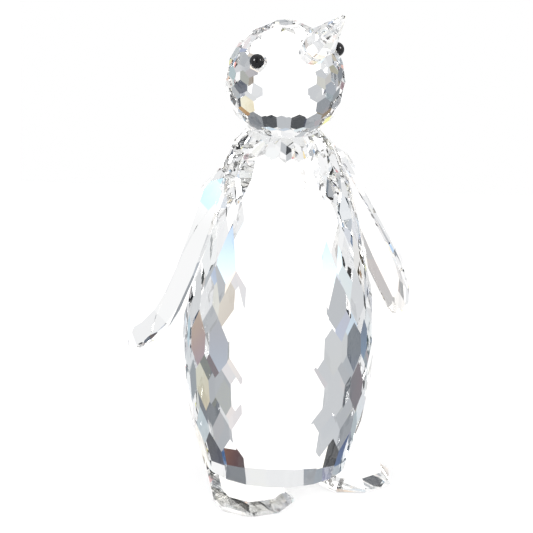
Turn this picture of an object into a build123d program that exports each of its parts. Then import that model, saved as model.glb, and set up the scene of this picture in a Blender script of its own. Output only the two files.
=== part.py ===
from build123d import *
import os
from math import atan2, cos, pi, radians, sin, sqrt, tan

# A standing penguin figurine of ground and polished clear crystal.
# Each stone is a convex block with flat facets, bonded to its neighbours by thin films of clear adhesive.
# Millimetres. +Z is up and the figurine faces -Y, so its own left side is at +X.
# A radius of a faceted stone is measured to its flats.

# Body: an egg of rows of facets, each as high as the next, that face up at these angles
# A steeper bevel runs round its crown
body_foot_radius = 12.4
body_facet_pairs = 10
body_row_height = 7.2
body_row_angles = (-16, -10, -4, 2.5, 8.5, 12, 14.5, 23)
body_crown_height = 2.8
body_crown_angle = 41

# Head: a faceted ball with rows of facets at these angles above its equator
head_radius = 9.85
head_neck_radius = 5.6
head_facets_around = 18
head_row_angles = (-45, -27, -9, 9, 27, 45)
head_cap_angle = 63
head_cap_facets = 9

# Beak: a faceted drop on an axis from the middle of the head
beak_rise_angle = 42
beak_seat_radius = 1.9
beak_girdle_radius = 2.65
beak_girdle_distance = 4.8
beak_tip_radius = 0.35
beak_length = 13.4
beak_facets_around = 10

# Eyes: round beads in drilled sockets
eye_radius = 1.25
eye_turn_angle = 66
eye_rise_angle = 32
eye_proud = 0.15
eye_socket_clearance = 0.06
eye_bond_height = 0.6

# Wings: flat flippers with a bevelled outer face, hung from facets in the body's last full row
# The outline runs down the front edge, round the tip and up the back edge
# Across the wing its shares are of the front's width or the back's, and the right wing is the slimmer
wing_length = 35.6
wing_front_width = {"left": 9.6, "right": 7.0}
wing_back_width = 5.1
wing_thickness = 2.4
wing_edge_height = 0.7
wing_bevel_width = 2.8
wing_outline_shares = (
    (0.00, -0.17),
    (0.30, -0.64),
    (0.47, -0.88),
    (0.62, -0.99),
    (0.74, -0.94),
    (0.86, -0.70),
    (0.95, -0.36),
    (0.985, -0.06),
    (0.97, 0.12),
    (0.88, 0.30),
    (0.70, 0.66),
    (0.50, 0.92),
    (0.34, 1.00),
    (0.20, 0.86),
    (0.06, 0.55),
    (0.00, 0.37),
)

# How far each wing's root is above the middle of its seat and behind it, and the angle it is swung back by
wing_lift = {"left": 1.4, "right": -0.7}
wing_shift = {"left": -0.9, "right": 0.9}
wing_swing_angle = {"left": 2, "right": 14}

# Feet: low slabs with a bevelled table, wide at the toes and narrow at the heel
# The outline runs along the toes, up the outer edge, over the heel and down the inner edge
foot_length = 22.8
foot_width = 13.3
foot_thickness = 2.2
foot_edge_height = 0.9
foot_bevel_width = 1.5
foot_sole_bevel = 0.3
foot_outline_shares = (
    (-0.44, -0.39),
    (-0.12, -0.50),
    (0.30, -0.46),
    (0.50, -0.26),
    (0.44, -0.075),
    (-0.02, 0.50),
    (-0.27, 0.50),
    (-0.47, 0.06),
    (-0.50, -0.22),
)

# Where the middle of a foot is from the body's axis, in radii of the body's foot
foot_spread_share = 0.82
foot_forward_share = 0.355

# Adhesive films between the stones
bond_thickness = 0.12
bond_edge_margin = 0.35

# Smallest distance that counts while a stone is ground
grit = 1e-6

up = Vector(0, 0, 1)


def outwards(turn, rise=0):
    """Unit direction at an angle round from +X and an angle above the level, both in radians."""
    return Vector(cos(turn) * cos(rise), sin(turn) * cos(rise), sin(rise))


def grind(block, facet):
    """Cut one flat facet into a block, given as the corners of each face. What stands past the plane goes."""
    out = facet.z_dir
    reach = facet.origin.dot(out)
    depths = [[corner.dot(out) - reach for corner in corners] for corners in block]
    if all(depth <= grit for face in depths for depth in face):
        return block
    kept = []
    edge = []
    for corners, face in zip(block, depths):
        loop = []
        for index, corner in enumerate(corners):
            before, here = face[index - 1], face[index]
            if min(before, here) < -grit and max(before, here) > grit:
                crossing = corner + (corners[index - 1] - corner) * (here / (here - before))
                loop.append(crossing)
                edge.append(crossing)
            if here <= grit:
                loop.append(corner)
            if abs(here) <= grit:
                edge.append(corner)
        if min(face) < -grit:
            kept.append(loop)
    table = []
    for corner in edge:
        if all((corner - other).length > grit for other in table):
            table.append(corner)
    middle = sum(table, Vector()) / len(table)
    right, ahead = facet.x_dir, facet.y_dir
    table.sort(key=lambda corner: atan2((corner - middle).dot(ahead), (corner - middle).dot(right)))
    return kept + [table]


def stone(reach, facets):
    """Solid left of a rough cube, which reaches this far from the origin, once all its facets are cut."""
    rough = Box(2 * reach, 2 * reach, 2 * reach)
    block = []
    for face in rough.faces():
        corners = [Vector(*vertex) for vertex in face.outer_wire().order_edges().vertices()]
        block.append(corners)
    for facet in facets:
        block = grind(block, facet)
    return Solid(Shell([Face(Wire.make_polygon(corners)) for corners in block]))


def ring(count, phase, angle_of_facet):
    """Facets all round the Z axis, from a function that gives the facet at a turn."""
    return [angle_of_facet(2 * pi * (index + phase) / count) for index in range(count)]


def slab(sides, reach, thickness, edge_height, bevel_width, sole_bevel=0):
    """Flat stone on the XY plane with an upright edge and a bevel up to its table."""
    facets = [Plane((0, 0, thickness), z_dir=(0, 0, 1)), Plane((0, 0, 0), z_dir=(0, 0, -1))]
    for turn, distance in sides:
        out = outwards(turn)
        edge = out * distance
        bevel = out * (thickness - edge_height) + up * bevel_width
        facets.append(Plane(edge, z_dir=out))
        facets.append(Plane(edge + up * edge_height, z_dir=bevel))
        if sole_bevel:
            facets.append(Plane(edge + up * sole_bevel, z_dir=out - up))
    return stone(reach, facets)


# Radius and level of the body at the foot of each row, and the rise its facets face at
body_rows = []
radius, level = body_foot_radius, 0
for angle in body_row_angles:
    body_rows.append((radius, level, radians(angle)))
    radius -= body_row_height * tan(radians(angle))
    level += body_row_height
body_rows.append((radius, level, radians(body_crown_angle)))
body_crown_radius = radius - body_crown_height * tan(radians(body_crown_angle))
body_height = level + body_crown_height

# The wings are hung from the middle of the facets that face sideways in the last full row
shoulder_radius, shoulder_level, seat_rise = body_rows[-2]
seat_out = outwards(0, seat_rise)
seat_down = Vector(seat_out.Z, 0, -seat_out.X)
seat_centre = Vector(shoulder_radius, 0, shoulder_level) - seat_down * (body_row_height / cos(seat_rise) / 2)


def make_body():
    """Egg of staggered rows of facets. The last full row has a facet square to each side."""
    facets = [Plane((0, 0, 0), z_dir=(0, 0, -1)), Plane((0, 0, body_height), z_dir=(0, 0, 1))]
    for row, (radius, level, rise) in enumerate(body_rows):
        facets += ring(
            2 * body_facet_pairs,
            (row + 1) % 2 / 2,
            lambda turn: Plane(outwards(turn) * radius + up * level, z_dir=outwards(turn, rise)),
        )
    return stone(2 * body_height, facets)


neck_depth = sqrt(head_radius**2 - head_neck_radius**2)
beak_seat_distance = sqrt(head_radius**2 - (beak_seat_radius + bond_edge_margin) ** 2)
beak_turn = radians(-90)
beak_axis = outwards(beak_turn, radians(beak_rise_angle))


def eye_frame(side):
    """Frame at the middle of an eye, from the middle of the head, with Z out of the head."""
    turn = beak_turn + side * radians(eye_turn_angle)
    out = outwards(turn, radians(eye_rise_angle))
    return Plane(out * (head_radius + eye_proud), z_dir=out)


def make_head():
    """Ball of staggered rows of facets about its own middle, with its neck, beak and eye seats."""
    facets = [
        Plane(up * head_radius, z_dir=up),
        Plane(up * -neck_depth, z_dir=-up),
        Plane(beak_axis * beak_seat_distance, z_dir=beak_axis),
    ]
    rows = [(angle, head_facets_around) for angle in head_row_angles]
    rows.append((head_cap_angle, head_cap_facets))
    for row, (angle, count) in enumerate(rows):
        rise = radians(angle)
        facets += ring(
            count,
            row % 2 / 2,
            lambda turn: Plane(outwards(turn, rise) * head_radius, z_dir=outwards(turn, rise)),
        )
    head = stone(2 * head_radius, facets)
    for side in (-1, 1):
        floor = Pos(0, 0, -eye_radius - bond_thickness)
        socket = Cylinder(
            eye_radius + eye_socket_clearance,
            2 * eye_radius,
            align=(Align.CENTER, Align.CENTER, Align.MIN),
        )
        head -= eye_frame(side) * floor * socket
    return head


def make_eye(side):
    return eye_frame(side) * Sphere(eye_radius)


def make_eye_bond(side):
    """Plug of adhesive between the socket's floor and the bead."""
    plug = Pos(0, 0, -eye_radius - bond_thickness) * Cylinder(
        eye_radius + eye_socket_clearance,
        eye_bond_height + bond_thickness,
        align=(Align.CENTER, Align.CENTER, Align.MIN),
    )
    return eye_frame(side) * (plug - Sphere(eye_radius))


def make_beak():
    """Drop that widens from its seat to its girdle and tapers to a blunt tip."""
    stations = (
        (0, beak_seat_radius),
        (beak_girdle_distance, beak_girdle_radius),
        (beak_length, beak_tip_radius),
    )
    facets = [Plane((0, 0, 0), z_dir=(0, 0, -1)), Plane((0, 0, beak_length), z_dir=(0, 0, 1))]
    for (low, low_radius), (high, high_radius) in zip(stations, stations[1:]):
        rise = atan2(low_radius - high_radius, high - low)
        facets += ring(
            beak_facets_around,
            0,
            lambda turn: Plane(outwards(turn) * low_radius + up * low, z_dir=outwards(turn, rise)),
        )
    return stone(2 * beak_length, facets)


def sides_of(points):
    """Turn and distance of each side of a flat outline, whose corners are given anticlockwise."""
    sides = []
    for index, point in enumerate(points):
        run = point - points[index - 1]
        turn = atan2(-run.X, run.Y)
        sides.append((turn, point.dot(outwards(turn))))
    return sides


def make_wing(front_width):
    """Flipper in its own frame: X down its length, Y towards its back edge, Z outwards."""
    points = [
        Vector(along * wing_length, across * (front_width if across < 0 else wing_back_width))
        for along, across in wing_outline_shares
    ]
    return slab(sides_of(points), 2 * wing_length, wing_thickness, wing_edge_height, wing_bevel_width)


def make_foot():
    """Left foot in its own frame, with its toes towards -Y."""
    points = [Vector(across * foot_width, along * foot_length) for across, along in foot_outline_shares]
    return slab(
        sides_of(points),
        2 * foot_length,
        foot_thickness,
        foot_edge_height,
        foot_bevel_width,
        foot_sole_bevel,
    )


def face_towards(piece, direction):
    """The face of a convex piece that lies furthest out in a direction."""
    return piece.faces().sort_by(lambda face: face.center().dot(direction))[-1]


def film_between(lower, upper, direction):
    """Film that fills the gap between two pieces, one over the other, short of both their edges."""
    sides = []
    for piece, out in ((lower, direction), (upper, -direction)):
        face = offset(face_towards(piece, out), -bond_edge_margin, kind=Kind.INTERSECTION)
        sides.append(extrude(face, bond_thickness))
    return sides[0] & sides[1]


def on_side(side, piece):
    """A piece that is made on the figurine's left, put on the named side."""
    return piece if side == "left" else mirror(piece, about=Plane.YZ)


body_place = Pos(0, 0, foot_thickness + bond_thickness)
neck_place = body_place * Pos(0, 0, body_height)
head_place = neck_place * Pos(0, 0, bond_thickness + neck_depth)
beak_place = head_place * Plane(beak_axis * beak_seat_distance, x_dir=(1, 0, 0), z_dir=beak_axis).location
foot_place = Pos(Vector(foot_spread_share, -foot_forward_share) * body_foot_radius)
seat_place = body_place * Plane(seat_centre, x_dir=seat_down, z_dir=seat_out).location

film = (Align.CENTER, Align.CENTER, Align.MIN)
neck_bond = Cylinder(min(head_neck_radius, body_crown_radius) - bond_edge_margin, bond_thickness, align=film)
beak_bond = Cylinder(beak_seat_radius - bond_edge_margin, bond_thickness, align=film)

body = body_place * make_body()
head = head_place * make_head()
foot = foot_place * make_foot()

pieces = {
    "body": body,
    "neck_bond": neck_place * neck_bond,
    "head": head,
    "beak_bond": beak_place * beak_bond,
    "beak": beak_place * Pos(0, 0, bond_thickness) * make_beak(),
    "eye_left": head_place * make_eye(1),
    "eye_right": head_place * make_eye(-1),
    "eye_bond_left": head_place * make_eye_bond(1),
    "eye_bond_right": head_place * make_eye_bond(-1),
}

# Feet and wings are made on the left, and the right ones are mirrored over
foot_bond = film_between(foot, body, up)
for side in ("left", "right"):
    hung = Pos(-wing_lift[side], wing_shift[side], bond_thickness) * Rot(0, 0, wing_swing_angle[side])
    wing = seat_place * hung * make_wing(wing_front_width[side])
    pieces[f"foot_{side}"] = on_side(side, foot)
    pieces[f"foot_bond_{side}"] = on_side(side, foot_bond)
    pieces[f"wing_{side}"] = on_side(side, wing)
    pieces[f"wing_bond_{side}"] = on_side(side, film_between(body, wing, seat_out))

# The origin is on the floor, under the middle of the figurine's bounding box
boxes = [piece.bounding_box() for piece in pieces.values()]
front = min(box.min.Y for box in boxes)
back = max(box.max.Y for box in boxes)
centred = Pos(0, -(front + back) / 2, 0)

os.makedirs("parts", exist_ok=True)
for name, piece in pieces.items():
    export_step(centred * piece, f"parts/{name}.step")
print("height in mm:", round(max(box.max.Z for box in boxes), 2))
print("width in mm:", round(2 * max(box.max.X for box in boxes), 2))
print("depth in mm:", round(back - front, 2))
print("body's axis in mm behind the origin:", round(-(front + back) / 2, 3))
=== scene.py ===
# %% [markdown]
# # A crystal penguin, cut, bonded and lit
# The figurine is a handful of clear stones. Each is sawn from a block of crystal and ground flat, one facet after
# another, then polished. Clear adhesive holds the stones together, and two black glass beads make the eyes.
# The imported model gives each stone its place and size. This lesson cuts the same stones again by rule in Geometry
# Nodes, gives them their glass, and sets up the camera, the paper and the studio of the photograph.

import math

import bpy
from mathutils import Matrix, Vector


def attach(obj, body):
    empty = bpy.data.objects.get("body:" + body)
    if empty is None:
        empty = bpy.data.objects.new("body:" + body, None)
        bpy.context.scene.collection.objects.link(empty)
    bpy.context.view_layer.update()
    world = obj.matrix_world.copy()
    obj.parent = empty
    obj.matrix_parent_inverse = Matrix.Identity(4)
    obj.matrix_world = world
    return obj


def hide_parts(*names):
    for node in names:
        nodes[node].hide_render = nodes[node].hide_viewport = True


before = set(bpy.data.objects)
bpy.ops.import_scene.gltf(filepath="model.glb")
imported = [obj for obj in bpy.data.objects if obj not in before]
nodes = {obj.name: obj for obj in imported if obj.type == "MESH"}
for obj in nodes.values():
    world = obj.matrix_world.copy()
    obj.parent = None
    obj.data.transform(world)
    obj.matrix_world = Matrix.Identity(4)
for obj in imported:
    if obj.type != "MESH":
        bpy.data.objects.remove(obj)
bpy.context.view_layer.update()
MM = 0.001
print("stones, beads and films:", len(nodes))

# %% [markdown]
# ## Node trees in plain sums
# Every tree below is a list of sums and a few named nodes. Built click by click, a tree of this size is hard to
# follow. The small class here lets sockets take part in ordinary Python sums, each operator adding one Math node.
# One method adds every other kind of node, with its settings first and its inputs after them.

# %% Sockets that add up
class Socket:
    """An output of a node that takes part in Python sums."""

    def __init__(self, tree, link):
        self.tree, self.link = tree, link

    def math(self, operation, *values):
        """A Math node on these values. A node's first value comes first."""
        node = self.tree.add("ShaderNodeMath", {"operation": operation})
        for slot, value in zip(node.inputs, values):
            self.tree.feed(slot, value)
        return Socket(self.tree, node.outputs[0])

    def __add__(self, other):
        return self.math("ADD", self, other)

    __radd__ = __add__

    def __sub__(self, other):
        return self.math("SUBTRACT", self, other)

    def __rsub__(self, other):
        return self.math("SUBTRACT", other, self)

    def __mul__(self, other):
        return self.math("MULTIPLY", self, other)

    __rmul__ = __mul__

    def __truediv__(self, other):
        return self.math("DIVIDE", self, other)

    def __rtruediv__(self, other):
        return self.math("DIVIDE", other, self)


class Tree:
    """A node tree of a material, the world or Geometry Nodes."""

    def __init__(self, nodes_and_links):
        self.nodes, self.links = nodes_and_links.nodes, nodes_and_links.links
        self.nodes.clear()

    def feed(self, slot, value):
        """Link a socket into a slot, or write a plain value there."""
        if isinstance(value, Socket):
            self.links.new(value.link, slot)
        else:
            slot.default_value = value

    def add(self, kind, settings=None, output=None, **inputs):
        """Any node. Inputs go by name, or as i0, i1 by place. With an output's name or place it gives that socket."""
        node = self.nodes.new(kind)
        for name, value in (settings or {}).items():
            setattr(node, name, value)
        for name, value in inputs.items():
            place = name[1:]
            self.feed(node.inputs[int(place) if place.isdigit() else name.replace("_", " ")], value)
        return node if output is None else Socket(self, node.outputs[output])


print("maths ready")

# %% [markdown]
# ## How a stone is cut by rule
# A lapidary grinds one flat facet at a time and each plane takes away what stands past it. The stone is what all the
# planes leave, so a table of planes says everything about it. Cutting the planes one by one with booleans would be
# slow and would leave slivers. The tree turns each plane into a point instead: the point lies towards the plane, at
# one over its depth below a heart inside the stone. The skin drawn tight round those points has one corner for
# each facet and one face for each corner of the stone. Swapping its faces and corners gives the stone itself.
# Facets that repeat round an axis are one line of the table with a number of repeats.

# %% Start a group
def new_group(name, sockets):
    """Empty Geometry Nodes group with a mesh in, these named inputs and a mesh out."""
    group = bpy.data.node_groups.new(name, "GeometryNodeTree")
    group.interface.new_socket("Geometry", in_out="INPUT", socket_type="NodeSocketGeometry")
    for title, kind, value in sockets:
        socket = group.interface.new_socket(title, in_out="INPUT", socket_type=kind)
        if value is not None:
            socket.default_value = value
    group.interface.new_socket("Geometry", in_out="OUTPUT", socket_type="NodeSocketGeometry")
    tree = Tree(group)
    entry = tree.add("NodeGroupInput")
    return group, tree, {socket.name: Socket(tree, socket) for socket in entry.outputs if socket.name}


def named(tree, kind, name):
    """An attribute that the table of facets carries."""
    return tree.add("GeometryNodeInputNamedAttribute", {"data_type": kind}, "Attribute", Name=name)


print("a group takes a mesh and named inputs, and gives a mesh")

# %% [markdown]
# ## From planes to points
# First each line of the table becomes a ring, with one copy for each facet, evenly spaced round the axis. Two angles
# then say which way a facet faces, and one over its depth says how far off its point lies.

# %% Turn planes into points
cutting, tree, given = new_group(
    "cut stone",
    [
        ("Heart", "NodeSocketVector", (0, 0, 0)),
        ("Scale", "NodeSocketFloat", MM),
        ("Weld", "NodeSocketFloat", 0.002 * MM),
        ("Material", "NodeSocketMaterial", None),
    ],
)
lines = tree.add(
    "GeometryNodeDuplicateElements",
    {"domain": "POINT"},
    Geometry=given["Geometry"],
    Amount=named(tree, "INT", "repeats"),
)
turn = named(tree, "FLOAT", "turn") + Socket(tree, lines.outputs["Duplicate Index"]) * math.tau / named(
    tree, "INT", "repeats"
)
rise = named(tree, "FLOAT", "rise")
level = rise.math("COSINE", rise)
towards = tree.add(
    "ShaderNodeCombineXYZ",
    None,
    0,
    X=turn.math("COSINE", turn) * level,
    Y=turn.math("SINE", turn) * level,
    Z=rise.math("SINE", rise),
)
depth = named(tree, "FLOAT", "depth")
polar = tree.add("ShaderNodeVectorMath", {"operation": "SCALE"}, 0, i0=towards, Scale=1 / depth)
points = tree.add("GeometryNodeSetPosition", None, 0, Geometry=Socket(tree, lines.outputs[0]), Position=polar)
print("nodes up to the points:", len(cutting.nodes))

# %% [markdown]
# ## From points to the stone
# A convex hull draws the skin round the points. A flat face of it shows which facets meet in a corner of the stone,
# and its normal and its distance from the heart say where that corner is. So each face keeps its corner's place, the
# Dual Mesh node swaps faces and corners, and the corners go to their places. Where more than three facets meet, the
# same corner turns up more than once, so the corners are merged at the end.

# %% Draw the skin and swap it
skin = tree.add("GeometryNodeConvexHull", None, 0, Geometry=points)
# the skin's corners are rounded a little on the way, so each goes back to the point it came from
spot = tree.add("GeometryNodeInputPosition", None, 0)
nearest = tree.add("GeometryNodeSampleNearest", {"domain": "POINT"}, 0, Geometry=points, Sample_Position=spot)
exact = tree.add(
    "GeometryNodeSampleIndex",
    {"data_type": "FLOAT_VECTOR", "domain": "POINT"},
    0,
    Geometry=points,
    Value=spot,
    Index=nearest,
)
skin = tree.add("GeometryNodeSetPosition", None, 0, Geometry=skin, Position=exact)
# a face of the skin stands for the corner where its facets meet
normal = tree.add("GeometryNodeInputNormal", None, 0)
gap = tree.add("ShaderNodeVectorMath", {"operation": "DOT_PRODUCT"}, "Value", i0=normal, i1=spot)
corner = tree.add("ShaderNodeVectorMath", {"operation": "SCALE"}, 0, i0=normal, Scale=1 / gap)
skin = tree.add(
    "GeometryNodeStoreNamedAttribute",
    {"data_type": "FLOAT_VECTOR", "domain": "FACE"},
    0,
    Geometry=skin,
    Name="corner",
    Value=corner,
)
block = tree.add("GeometryNodeDualMesh", None, 0, Mesh=skin)
place = tree.add(
    "ShaderNodeVectorMath", {"operation": "ADD"}, 0, i0=named(tree, "FLOAT_VECTOR", "corner"), i1=given["Heart"]
)
place = tree.add("ShaderNodeVectorMath", {"operation": "SCALE"}, 0, i0=place, Scale=given["Scale"])
block = tree.add("GeometryNodeSetPosition", None, 0, Geometry=block, Position=place)
block = tree.add("GeometryNodeMergeByDistance", None, 0, Geometry=block, Distance=given["Weld"])
block = tree.add("GeometryNodeRemoveAttribute", None, 0, Geometry=block, Name="corner")
block = tree.add("GeometryNodeRealizeInstances", None, 0, Geometry=block)
block = tree.add("GeometryNodeSetMaterial", None, 0, Geometry=block, Material=given["Material"])
tree.add("NodeGroupOutput", None, None, Geometry=block)
print("nodes in the cutting tree:", len(cutting.nodes))

# %% [markdown]
# ## Running a tree
# A tree works on an object through a modifier. Its inputs are written before it first runs, then what it makes is
# kept as a plain mesh and the modifier's object goes. The pieces that remain are meshes anyone can reuse.

# %% From tree to plain mesh
def run(group, name, start, inputs):
    """Run a group on a mesh with these inputs, and give the mesh it makes."""
    carrier = bpy.data.objects.new(name, start)
    bpy.context.scene.collection.objects.link(carrier)
    modifier = carrier.modifiers.new(group.name, "NODES")
    modifier.node_group = group
    for socket in group.interface.items_tree:
        if socket.in_out == "INPUT" and socket.name in inputs:
            modifier[socket.identifier] = inputs[socket.name]
    made = bpy.data.meshes.new_from_object(carrier.evaluated_get(bpy.context.evaluated_depsgraph_get()))
    carrier.modifiers.remove(modifier)
    bpy.data.objects.remove(carrier)
    bpy.data.meshes.remove(start)
    made.name = name
    return made


def facet(out, point, heart, repeats=1):
    """A line of the table: facets that face out through a point, repeated round the stone's upright axis."""
    return repeats, math.atan2(out.y, out.x), math.asin(out.z), out.dot(point - heart)


def table_mesh(name, table):
    """The table of facets as bare points that carry its columns."""
    mesh = bpy.data.meshes.new(name)
    mesh.from_pydata([(0, 0, 0)] * len(table), [], [])
    columns = (("repeats", "INT"), ("turn", "FLOAT"), ("rise", "FLOAT"), ("depth", "FLOAT"))
    for column, (title, kind) in enumerate(columns):
        attribute = mesh.attributes.new(title, kind, "POINT")
        attribute.data.foreach_set("value", [line[column] for line in table])
    return mesh


def piece_of(mesh, name, place, mirrored=False):
    """Put a mesh where it belongs and make it an object."""
    mesh.transform(place)
    if mirrored:
        mesh.transform(Matrix.Diagonal((-1, 1, 1, 1)))
        mesh.flip_normals()
    piece = bpy.data.objects.new(name, mesh)
    bpy.context.scene.collection.objects.link(piece)
    return piece


def outwards(turn, rise=0):
    """Unit direction at an angle round from the figurine's left and an angle above the level, in degrees."""
    turn, rise = math.radians(turn), math.radians(rise)
    return Vector((math.cos(turn) * math.cos(rise), math.sin(turn) * math.cos(rise), math.sin(rise)))


def shift(x, y, z):
    """Move by these millimetres."""
    return Matrix.Translation(Vector((x, y, z)) * MM)


up = Vector((0, 0, 1))
print("tools ready")

# %% [markdown]
# ## The crystal
# All seven stones are the same clear crystal, polished on every facet. It has no colour and no texture of its own.
# What it does is bend light, so the number that counts is its bending power, a little above that of window glass. A
# Glass node would look the same here. The Principled node is chosen because other programs can read its values.

# %% Mix the crystal
crystal = bpy.data.materials.new("crystal")
crystal.use_nodes = True
tree = Tree(crystal.node_tree)
glass = tree.add(
    "ShaderNodeBsdfPrincipled",
    None,
    0,
    Base_Color=(1, 1, 1, 1),
    Roughness=0.0,
    IOR=1.55,
    Transmission_Weight=1.0,
)
tree.add("ShaderNodeOutputMaterial", Surface=glass)
print("material made:", crystal.name)

# %% [markdown]
# ## The body
# The body is one egg-shaped block on a flat base. It is ground in eight rows of twenty facets, every second row
# turned by half a facet so that the facets stagger like scales. Then a steep bevel runs round the crown, where the
# head sits. The rows are all equally high and only their slope changes, so the table is a short loop.

# %% Cut the body
SOLE = 2.2  # thickness of a foot
FILM = 0.12  # thickness of a film of adhesive
AXIS = 0.5526  # how far the body's axis is behind the middle of the figurine
BASE = 12.4  # radius of the body's base to its flats
ROW_HEIGHT, CROWN_HEIGHT = 7.2, 2.8
ROW_ANGLES = (-16, -10, -4, 2.5, 8.5, 12, 14.5, 23, 41)
AROUND = 20

rows, radius, height = [], BASE, 0
for angle in ROW_ANGLES:
    rows.append((radius, height, angle))
    radius -= ROW_HEIGHT * math.tan(math.radians(angle))
    height += ROW_HEIGHT
body_height = rows[-1][1] + CROWN_HEIGHT
heart = up * body_height / 2
table = [facet(-up, Vector(), heart), facet(up, up * body_height, heart)]
for number, (radius, height, angle) in enumerate(rows):
    turn = (number + 1) % 2 * 180 / AROUND
    table.append(facet(outwards(turn, angle), outwards(turn) * radius + up * height, heart, AROUND))
body = piece_of(
    run(cutting, "body_stone", table_mesh("body_table", table), {"Heart": heart, "Material": crystal}),
    "body_stone",
    shift(0, AXIS, SOLE + FILM),
)
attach(body, "root")
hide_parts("body")
print("lines in the body's table:", len(table))
print("facets cut:", len(body.data.polygons), "corners:", len(body.data.vertices))

# %% [markdown]
# ## The head
# The head is a ball with rows of facets at even steps from its equator, closed by a ring of larger facets under a
# small table. A flat is ground below for the neck and one in front for the beak. Each facet lies equally deep below
# the middle of the ball, so the table only needs its angles.

# %% Cut the head
HEAD, NECK = 9.85, 5.6  # radius of the ball to its flats, and of the flat under it
AROUND_HEAD, HEAD_ANGLES = 18, (-45, -27, -9, 9, 27, 45)
CAP_ANGLE, CAP_FACETS = 63, 9
SEAT, MARGIN = 1.9, 0.35  # radius of the beak's seat, and the rim of the flat round it
BEAK_RISE = 42
neck_depth = math.sqrt(HEAD**2 - NECK**2)
beak_seat = math.sqrt(HEAD**2 - (SEAT + MARGIN) ** 2)
beak_way = outwards(-90, BEAK_RISE)
middle = Vector()
table = [
    facet(up, up * HEAD, middle),
    facet(-up, -up * neck_depth, middle),
    facet(beak_way, beak_way * beak_seat, middle),
    facet(outwards(0, CAP_ANGLE), outwards(0, CAP_ANGLE) * HEAD, middle, CAP_FACETS),
]
for number, angle in enumerate(HEAD_ANGLES):
    way = outwards(number % 2 * 180 / AROUND_HEAD, angle)
    table.append(facet(way, way * HEAD, middle, AROUND_HEAD))
head_mesh = run(cutting, "head_stone", table_mesh("head_table", table), {"Heart": middle, "Material": crystal})
print("facets on the head:", len(head_mesh.polygons))

# %% [markdown]
# ## The eye sockets
# Two blind holes are drilled for the eyes, aimed at the middle of the head, with a flat floor each. A hole isn't a
# facet and no plane can make it, so this tree takes two round bits away with a boolean, after the facets are cut.

# %% Tree that drills the eye sockets
BEAD = 1.25  # radius of an eye
PROUD = 0.15  # how far a bead's middle stands out past the head's flats
PLAY = 0.06  # room round a bead in its socket
EYE_TURN, EYE_RISE = 66, 32
drilling, tree, given = new_group(
    "drill sockets",
    [
        ("Turn", "NodeSocketFloat", math.radians(EYE_TURN)),
        ("Rise", "NodeSocketFloat", math.radians(EYE_RISE)),
        ("Floor", "NodeSocketFloat", (HEAD + PROUD - BEAD - FILM) * MM),
        ("Depth", "NodeSocketFloat", 2 * BEAD * MM),
        ("Radius", "NodeSocketFloat", (BEAD + PLAY) * MM),
        ("Material", "NodeSocketMaterial", None),
    ],
)
# one drill to each side of straight ahead
pair = tree.add("GeometryNodeMeshLine", None, 0, Count=2)
side = tree.add("GeometryNodeInputIndex", None, 0) * 2 - 1
turn = side * given["Turn"] - math.pi / 2
level = turn.math("COSINE", given["Rise"])
way = tree.add(
    "ShaderNodeCombineXYZ",
    None,
    0,
    X=turn.math("COSINE", turn) * level,
    Y=turn.math("SINE", turn) * level,
    Z=turn.math("SINE", given["Rise"]),
)
reach = given["Floor"] + given["Depth"] / 2
spot = tree.add("ShaderNodeVectorMath", {"operation": "SCALE"}, 0, i0=way, Scale=reach)
pair = tree.add("GeometryNodeSetPosition", None, 0, Geometry=pair, Position=spot)
bit = tree.add("GeometryNodeMeshCylinder", None, 0, Vertices=64, Radius=given["Radius"], Depth=given["Depth"])
aim = tree.add("FunctionNodeAlignRotationToVector", {"axis": "Z"}, 0, Vector=way)
bits = tree.add("GeometryNodeInstanceOnPoints", None, 0, Points=pair, Instance=bit, Rotation=aim)
bits = tree.add("GeometryNodeRealizeInstances", None, 0, Geometry=bits)
cut = tree.add("GeometryNodeMeshBoolean", {"operation": "DIFFERENCE", "solver": "EXACT"})
tree.feed(cut.inputs[0], given["Geometry"])
tree.feed(cut.inputs[1], bits)
cut = tree.add("GeometryNodeRealizeInstances", None, 0, Geometry=Socket(tree, cut.outputs[0]))
cut = tree.add("GeometryNodeSetMaterial", None, 0, Geometry=cut, Material=given["Material"])
tree.add("NodeGroupOutput", None, None, Geometry=cut)
print("nodes in the drilling tree:", len(drilling.nodes))

# %% [markdown]
# ## The head on its neck
# A thin disc of adhesive lies between the two flats at the neck. So the middle of the head stands above the body by
# the film and by the depth of the head's own flat.

# %% Drill the head and set it on the body
head_height = SOLE + FILM + body_height + FILM + neck_depth
at_head = shift(0, AXIS, head_height)
head = piece_of(run(drilling, "head_stone", head_mesh, {"Material": crystal}), "head_stone", at_head)
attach(head, "root")
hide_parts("head")
print("middle of the head at mm:", round(head_height, 2), "facets with the sockets:", len(head.data.polygons))

# %% [markdown]
# ## The beak
# The beak is a drop: it widens from a small seat to its girdle, then tapers to a blunt tip. It is ground on a dop
# stick, turned by a tenth of a turn for each facet, so two rows of ten facets and two flat ends say it all. Its axis
# goes through the middle of the head and points up, and one matrix sets it on its seat.

# %% Cut the beak
AROUND_BEAK = 10
BEAK_HEART = 5  # how far along the beak its heart lies, a little past the girdle
GIRTHS = ((0, SEAT), (4.8, 2.65), (13.4, 0.35))  # distance along the beak and radius there
heart = up * BEAK_HEART
table = [facet(-up, Vector(), heart), facet(up, up * GIRTHS[-1][0], heart)]
for (low, wide), (high, narrow) in zip(GIRTHS, GIRTHS[1:]):
    slope = math.degrees(math.atan2(wide - narrow, high - low))
    table.append(facet(outwards(0, slope), outwards(0) * wide + up * low, heart, AROUND_BEAK))


def stand(across, towards, spot):
    """Place with its X across and its Z towards these directions, at a spot in millimetres."""
    along = towards.cross(across)
    turned = Matrix((across, along, towards)).transposed().to_4x4()
    return Matrix.Translation(spot * MM) @ turned


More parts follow.
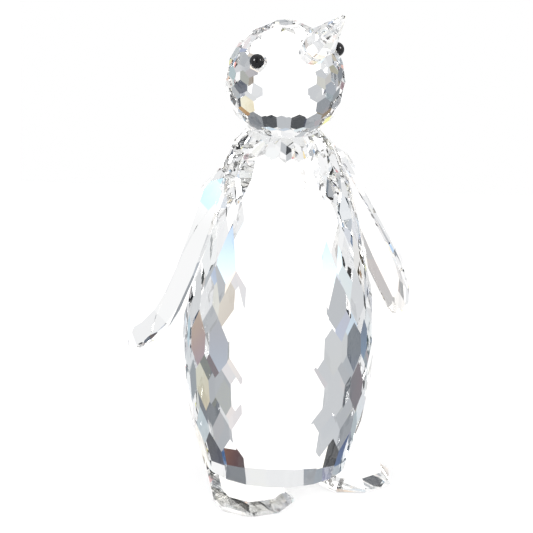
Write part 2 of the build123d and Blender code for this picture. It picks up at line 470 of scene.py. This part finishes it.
beak = piece_of(
    run(cutting, "beak_stone", table_mesh("beak_table", table), {"Heart": heart, "Material": crystal}),
    "beak_stone",
    at_head @ stand(Vector((1, 0, 0)), beak_way, beak_way * (beak_seat + FILM)),
)
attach(beak, "root")
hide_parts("beak")
print("facets on the beak:", len(beak.data.polygons))

# %% [markdown]
# ## Wings and feet
# The wings and the feet are slabs sawn from a plate. Their outline is ground first, then a bevel runs round the edge
# up to the polished table. So both come from one function that turns an outline into lines of the table. The same
# outline serves both wings, but on this figurine the right wing is slimmer than the left and is bonded on with more
# of a swing to the back.

# %% Outline to facets
def slab(points, heart, thick, edge, bevel, sole=0):
    """Table of a flat stone on its own ground, from its outline's corners, given anticlockwise."""
    table = [facet(up, up * thick, heart), facet(-up, Vector(), heart)]
    for start, end in zip(points[-1:] + points, points):
        run_of_edge = end - start
        out = Vector((run_of_edge.y, -run_of_edge.x, 0)).normalized()
        slope = (out * (thick - edge) + up * bevel).normalized()
        table.append(facet(out, end, heart))
        table.append(facet(slope, end + up * edge, heart))
        if sole:
            table.append(facet((out - up).normalized(), end + up * sole, heart))
    return table


# corners as shares of the length and of the width, down the front edge, round the tip and up the back edge
WING_SHAPE = (
    (0, -0.17), (0.3, -0.64), (0.47, -0.88), (0.62, -0.99), (0.74, -0.94), (0.86, -0.7), (0.95, -0.36),
    (0.985, -0.06), (0.97, 0.12), (0.88, 0.3), (0.7, 0.66), (0.5, 0.92), (0.34, 1), (0.2, 0.86),
    (0.06, 0.55), (0, 0.37),
)
WING_LENGTH, WING_BACK = 35.6, 5.1
WING_THICK, WING_EDGE, WING_BEVEL = 2.4, 0.7, 2.8
# corners as shares of the width and of the length, anticlockwise from the inner toe
FOOT_SHAPE = (
    (-0.44, -0.39), (-0.12, -0.5), (0.3, -0.46), (0.5, -0.26), (0.44, -0.075), (-0.02, 0.5), (-0.27, 0.5),
    (-0.47, 0.06), (-0.5, -0.22),
)
FOOT_WIDTH, FOOT_LENGTH = 13.3, 22.8
FOOT_EDGE, FOOT_BEVEL, SOLE_BEVEL = 0.9, 1.5, 0.3
FOOT_SPREAD, FOOT_FORWARD = 0.82, 0.355  # shares of the radius of the body's base
print("corners of a wing's outline:", len(WING_SHAPE), "of a foot's:", len(FOOT_SHAPE))

# %% [markdown]
# ## Hanging the wings
# A wing stands upright on its seat, the upper side facet of the body next to the last. It is laid flat on that
# facet's slope with a film of adhesive between, then swung to the back. The right one is worked out on the left side
# and mirrored, because the seats of both are alike.

# %% Cut and hang the wings
radius, height, angle = rows[-2]
slope = math.radians(angle)
seat_out, seat_down = outwards(0, angle), Vector((math.sin(slope), 0, -math.cos(slope)))
seat = Vector((radius, 0, height)) - seat_down * (ROW_HEIGHT / math.cos(slope) / 2)
at_seat = shift(0, AXIS, SOLE + FILM) @ stand(seat_down, seat_out, seat)
heart = Vector((WING_LENGTH / 2, 0, WING_THICK / 2))
# width ahead of its axis, how far it is moved up and back on its seat, and its swing to the back in degrees
HANGING = (("left", 9.6, 1.4, -0.9, 2), ("right", 7, -0.7, 0.9, 14))
for side, front, lift, back, swing in HANGING:
    points = [
        Vector((along * WING_LENGTH, across * (front if across < 0 else WING_BACK), 0))
        for along, across in WING_SHAPE
    ]
    table = slab(points, heart, WING_THICK, WING_EDGE, WING_BEVEL)
    hung = at_seat @ shift(-lift, back, FILM) @ Matrix.Rotation(math.radians(swing), 4, "Z")
    name = f"wing_{side}_stone"
    mesh = run(cutting, name, table_mesh("wing_table", table), {"Heart": heart, "Material": crystal})
    wing = piece_of(mesh, name, hung, mirrored=side == "right")
    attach(wing, "root")
    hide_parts(f"wing_{side}")
    print(side, "wing's facets:", len(wing.data.polygons))

# %% [markdown]
# ## The feet
# A foot is broad at the toes and tapers to its heel. Its bevel is short, and a fine second bevel below keeps the
# sole's edge from chipping. The two feet are a mirrored pair and carry the body on their heels.

# %% Cut and set the feet
heart = Vector((0, 0, SOLE / 2))
points = [Vector((across * FOOT_WIDTH, along * FOOT_LENGTH, 0)) for across, along in FOOT_SHAPE]
table = slab(points, heart, SOLE, FOOT_EDGE, FOOT_BEVEL, SOLE_BEVEL)
for side in ("left", "right"):
    name = f"foot_{side}_stone"
    mesh = run(cutting, name, table_mesh("foot_table", table), {"Heart": heart, "Material": crystal})
    at_foot = shift(FOOT_SPREAD * BASE, AXIS - FOOT_FORWARD * BASE, 0)
    foot = piece_of(mesh, name, at_foot, mirrored=side == "right")
    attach(foot, "root")
    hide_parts(f"foot_{side}")
    print(side, "foot's facets:", len(foot.data.polygons))

# %% [markdown]
# ## The eyes
# The eyes are round beads of black glass, pushed half-way into their sockets. A bead is round by rule, so a small
# tree makes it and shades it smooth. Its surface is all there is to see, a mirror-like skin over black.

# %% Make the beads
jet = bpy.data.materials.new("black_bead")
jet.use_nodes = True
tree = Tree(jet.node_tree)
gloss = tree.add(
    "ShaderNodeBsdfPrincipled", None, 0, Base_Color=(0.004, 0.004, 0.005, 1), Roughness=0.02, IOR=1.42
)
tree.add("ShaderNodeOutputMaterial", Surface=gloss)

rounding, tree, given = new_group(
    "bead", [("Radius", "NodeSocketFloat", BEAD * MM), ("Material", "NodeSocketMaterial", None)]
)
ball = tree.add("GeometryNodeMeshUVSphere", None, 0, Segments=64, Rings=32, Radius=given["Radius"])
ball = tree.add("GeometryNodeSetShadeSmooth", None, 0, Geometry=ball)
ball = tree.add("GeometryNodeRealizeInstances", None, 0, Geometry=ball)
ball = tree.add("GeometryNodeSetMaterial", None, 0, Geometry=ball, Material=given["Material"])
tree.add("NodeGroupOutput", None, None, Geometry=ball)
for side, turned in (("left", EYE_TURN - 90), ("right", -EYE_TURN - 90)):
    name, spot = f"eye_{side}_bead", outwards(turned, EYE_RISE) * (HEAD + PROUD) * MM
    mesh = run(rounding, name, bpy.data.meshes.new("start"), {"Material": jet})
    eye = piece_of(mesh, name, at_head @ Matrix.Translation(spot))
    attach(eye, "root")
    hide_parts(f"eye_{side}")
    print(side, "eye's middle at mm:", [round(value / MM, 2) for value in at_head @ spot])

# %% [markdown]
# ## The adhesive
# The stones are held by films of clear adhesive a tenth of a millimetre thick, and the beads by small plugs of it. It
# cures as clear as the crystal but bends light a little less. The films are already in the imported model, so they
# keep their shape and only get their finish.

# %% Finish the adhesive
adhesive = bpy.data.materials.new("clear_adhesive")
adhesive.use_nodes = True
tree = Tree(adhesive.node_tree)
cured = tree.add(
    "ShaderNodeBsdfPrincipled",
    None,
    0,
    Base_Color=(0.985, 0.98, 0.96, 1),
    Roughness=0.0,
    IOR=1.5,
    Transmission_Weight=1.0,
)
tree.add("ShaderNodeOutputMaterial", Surface=cured)
bonds = [name for name in nodes if "bond" in name]
for name in bonds:
    nodes[name].data.materials.clear()
    nodes[name].data.materials.append(adhesive)
print("films and plugs of adhesive:", len(bonds))

# %% [markdown]
# ## The camera
# The photograph is taken from a long way off with a long lens, a little above the figurine and from its right. A
# wrong lens would bend each facet out of place, so the numbers come from matching the stones' corners to the picture.
# They are given as a turn, a rise, a roll and a distance, and a small shift keeps the lens level with its aim.

# %% Set the camera
PICTURE, FOCAL = 533, 3300  # pixels
SENSOR = 36  # mm
DISTANCE = 0.561  # m
AIM = Vector((0, AXIS, 39.1)) * MM
AIM_PIXEL = (280.5, 259.7)
TURN, RISE, ROLL = (math.radians(angle) for angle in (-31.98, 20.23, 1.6))
back = Vector((math.sin(TURN) * math.cos(RISE), -math.cos(TURN) * math.cos(RISE), math.sin(RISE)))
level = Vector((math.cos(TURN), math.sin(TURN), 0))
upright = back.cross(level)
right = level * math.cos(ROLL) + upright * math.sin(ROLL)
above = upright * math.cos(ROLL) - level * math.sin(ROLL)
turned = Matrix((right, above, back)).transposed().to_4x4()
camera = bpy.data.objects.new("camera", bpy.data.cameras.new("camera"))
bpy.context.scene.collection.objects.link(camera)
camera.matrix_world = Matrix.Translation(AIM + back * DISTANCE) @ turned
camera.data.sensor_width = SENSOR
camera.data.lens = SENSOR * FOCAL / PICTURE
camera.data.shift_x = 0.5 - AIM_PIXEL[0] / PICTURE
camera.data.shift_y = AIM_PIXEL[1] / PICTURE - 0.5
camera.data.clip_start = 0.01
bpy.context.scene.camera = camera
print("lens in mm:", round(camera.data.lens, 1))

# %% [markdown]
# ## The paper
# The figurine stands on a large sheet of white paper. Most of what the camera sees of the paper is its own even
# white and the rest is lit, so a soft shadow stays round the feet. The stones look through it into the studio, which
# has its own white floor there.

# %% Lay the paper
PAPER = 2  # half its side in m
EVEN = 0.85  # share of even white
paper_mesh = bpy.data.meshes.new("paper")
paper_mesh.from_pydata(
    [(-PAPER, -PAPER, 0), (PAPER, -PAPER, 0), (PAPER, PAPER, 0), (-PAPER, PAPER, 0)], [], [(0, 1, 2, 3)]
)
paper = bpy.data.objects.new("paper", paper_mesh)
bpy.context.scene.collection.objects.link(paper)
white = bpy.data.materials.new("white_paper")
white.use_nodes = True
tree = Tree(white.node_tree)
matt = tree.add("ShaderNodeBsdfDiffuse", None, 0, Color=(0.9, 0.9, 0.9, 1))
bright = tree.add("ShaderNodeEmission", None, 0, Color=(1, 1, 1, 1), Strength=1.0)
clear = tree.add("ShaderNodeBsdfTransparent", None, 0, Color=(1, 1, 1, 1))
ray = tree.add("ShaderNodeLightPath")
share = Socket(tree, ray.outputs["Is Camera Ray"]) * EVEN
look = tree.add("ShaderNodeMixShader", None, 0, Fac=share, i1=matt, i2=bright)
through = Socket(tree, ray.outputs["Is Transmission Ray"])
through = through.math("MAXIMUM", through, Socket(tree, ray.outputs["Is Glossy Ray"]))
look = tree.add("ShaderNodeMixShader", None, 0, Fac=through, i1=look, i2=clear)
tree.add("ShaderNodeOutputMaterial", Surface=look)
paper_mesh.materials.append(white)
print("paper laid, side in m:", 2 * PAPER)

# %% [markdown]
# ## The sheet behind
# A small lit sheet stands behind the figurine, just wider than it looks. The body and the head show it as their pure
# white middle. Its straight sides end in steps on the facets, which a light far off in the world can't give, because
# neighbouring facets see it from places a few millimetres apart. It is low, so the rim of the base looks over it.

# %% Stand the sheet behind
AWAY, ASIDE, SHEET_TOP = 0.15, 0.057, 0.06  # m
SHEET_LIGHT = 1.3
ahead = Vector((-back.x, -back.y, 0)).normalized()
foot_of_sheet = Vector((0, AXIS * MM, 0)) + ahead * AWAY
corners = ((-ASIDE, 0), (ASIDE, 0), (ASIDE, SHEET_TOP), (-ASIDE, SHEET_TOP))
sheet_mesh = bpy.data.meshes.new("sheet")
sheet_mesh.from_pydata([foot_of_sheet + level * side + up * height for side, height in corners], [], [(0, 1, 2, 3)])
sheet = bpy.data.objects.new("sheet", sheet_mesh)
bpy.context.scene.collection.objects.link(sheet)
lit = bpy.data.materials.new("lit_sheet")
lit.use_nodes = True
tree = Tree(lit.node_tree)
ray = tree.add("ShaderNodeLightPath", None, "Is Camera Ray")
# the camera sees it as white as the paper
strength = SHEET_LIGHT - ray * (SHEET_LIGHT - 1)
glow = tree.add("ShaderNodeEmission", None, 0, Color=(1, 1, 1, 1), Strength=strength)
tree.add("ShaderNodeOutputMaterial", Surface=glow)
sheet_mesh.materials.append(lit)
print("sheet stands behind, in mm:", AWAY / MM)

# %% [markdown]
# ## The studio
# Clear glass has no look of its own: it shows the room, bent. In the photograph the middle of the figurine is pure
# white and its sides are grey and black polygons. So black cards stand at both sides of the sheet and lamps stand
# further round. The world is built the same way, by the direction in which a thing stands as seen from the
# figurine: its turn from straight ahead of the camera, and its rise above the level, in degrees.

# %% Find the direction
world = bpy.data.worlds.new("studio")
bpy.context.scene.world = world
world.use_nodes = True
tree = Tree(world.node_tree)
way = tree.add("ShaderNodeTexCoord", None, "Generated")


def along(vector):
    """How far the direction goes along a vector."""
    return tree.add("ShaderNodeVectorMath", {"operation": "DOT_PRODUCT"}, "Value", i0=way, i1=vector)


to_side, to_top = along(level), along(up)
turn = to_side.math("ARCTAN2", to_side, along(ahead)) * (180 / math.pi)
rise = to_top.math("ARCSINE", to_top) * (180 / math.pi)
print("nodes that find the direction:", len(world.node_tree.nodes))

# %% [markdown]
# ## Cards and lamps
# The cards stand in tiers, one above the other, and in a tier they follow each other round the figurine. So a tier
# is a short list of turns with the brightness that starts there. A lamp is a soft box with a middle and a size.

# %% Cards and lamps by direction
def past(value, edge, soft=1.5):
    """0 below an edge, 1 past it, soft between."""
    return tree.add(
        "ShaderNodeMapRange",
        {"interpolation_type": "SMOOTHSTEP"},
        0,
        Value=value,
        From_Min=edge - soft,
        From_Max=edge + soft,
    )


def band(value, low, high, soft=1.5):
    """1 between two edges."""
    return past(value, low, soft) - past(value, high, soft)


def tier(turn, cards):
    """Light along one tier of cards. Each card is the turn where it starts and its brightness."""
    light = cards[0][1]
    for (start, strength), (_, before) in zip(cards[1:], cards):
        light = past(turn, start) * (strength - before) + light
    return light


def lamp(turn, rise, at_turn, at_rise, half_width, half_height, strength):
    """A soft box at a turn and a rise."""
    return (
        band(turn, at_turn - half_width, at_turn + half_width)
        * band(rise, at_rise - half_height, at_rise + half_height)
        * strength
    )


print("a tier, a lamp and a soft edge are ready")

# %% [markdown]
# ## Where the cards stand
# The facets tell where light and dark stood in the real studio. A ray followed through the glass from a facet ends in
# some direction, and a dark facet means a dark card there. The lists are a few cards for each tier, set from such
# rays, with a white floor below them and the dim room behind the camera at both ends.

# %% Place the cards and lamps
FLOOR = ((-180, 0.85), (-55, 0.92), (-40, 1.3), (44, 0.92), (58, 0.85))
LOW = (
    (-180, 0.85), (-62, 0.65), (-48, 0.8), (-40, 0.5), (-29, 1.3),
    (24, 0.75), (33, 0.45), (52, 0.75), (80, 0.85),
)
MIDDLE = (
    (-180, 0.8), (-100, 0.95), (-66, 0.3), (-56, 0.13), (-47, 0.45), (-34, 0.6), (-20, 1.3),
    (21, 0.75), (27, 0.42), (34, 0.16), (43, 0.6), (49, 0.25), (56, 0.65), (80, 0.85),
)
LEVEL = (
    (-180, 0.3), (-159, 0.95), (-60, 0.5), (-52, 0.28), (-43, 0.01), (-35.5, 0.28), (-26, 1.3),
    (21.5, 0.01), (25.5, 0.7), (31, 0.9), (34.3, 0.02), (41, 0.4), (48, 0.6), (56, 0.4), (66, 0.95),
    (163, 0.3),
)
HIGH = (
    (-180, 0.3), (-159, 0.95), (-80, 0.9), (-50, 0.4), (-42, 0.08), (-30, 0.2), (-20, 0.02), (-5, 0.5),
    (6, 0.03), (38, 0.7), (48, 0.95), (163, 0.3),
)
TOP = (
    (-180, 0.3), (-159, 0.95), (-80, 0.9), (-50, 0.35), (-17, 0.85),
    (16, 0.16), (36, 0.95), (163, 0.3),
)
CEILING = ((-180, 0.5), (-150, 1), (150, 0.5))
# rise where each tier starts
TIERS = ((-36, LOW), (-22, MIDDLE), (-4.2, LEVEL), (13, HIGH), (21.5, TOP), (35, CEILING))
# turn, rise, half width, half height and strength
LAMPS = ((-125, 31, 11, 11, 20), (112, 31, 9, 10, 20))


def brightness(turn, rise):
    """Light of the studio in a direction, from what stands there."""
    light = tier(turn, FLOOR)
    for edge, cards in TIERS:
        light = light + past(rise, edge) * (tier(turn, cards) - light)
    return light


print("cards:", sum(len(cards) for _, cards in TIERS) + len(FLOOR), "lamps:", len(LAMPS))

# %% [markdown]
# ## Colours
# Glass bends blue light more than red, which gives the coloured fringes between light and dark. So each of the three
# colours is worked out with its own small stretch of the turn and the rise. The dark cards are a little blue, which
# a power does without touching white. The camera itself sees plain white past the paper.

# %% Colour the studio
FRINGES = ((0.985, 1.06), (1, 1), (1.02, 0.93))  # stretch and power for red, green and blue
colours = []
for stretch, tint in FRINGES:
    colour = brightness(turn * stretch, rise * stretch)
    colour = colour.math("POWER", colour, tint)
    for box in LAMPS:
        colour = colour + lamp(turn, rise, *box)
    colours.append(colour)
light = tree.add("ShaderNodeCombineColor", None, 0, Red=colours[0], Green=colours[1], Blue=colours[2])
room = tree.add("ShaderNodeBackground", None, 0, Color=light, Strength=1.0)
plain = tree.add("ShaderNodeBackground", None, 0, Color=(1, 1, 1, 1), Strength=1.0)
ray = tree.add("ShaderNodeLightPath", None, "Is Camera Ray")
seen = tree.add("ShaderNodeMixShader", None, 0, Fac=ray, i1=room, i2=plain)
tree.add("ShaderNodeOutputWorld", Surface=seen)
print("nodes in the studio:", len(world.node_tree.nodes))

# %% [markdown]
# ## Finish
# Light crosses a dozen facets on its way through, so the paths are long. The picture keeps its colours as written.

# %% Sizes and finish
scene = bpy.context.scene
scene.cycles.max_bounces = 24
scene.cycles.glossy_bounces = 16
scene.cycles.transmission_bounces = 20
scene.view_settings.view_transform = "Standard"
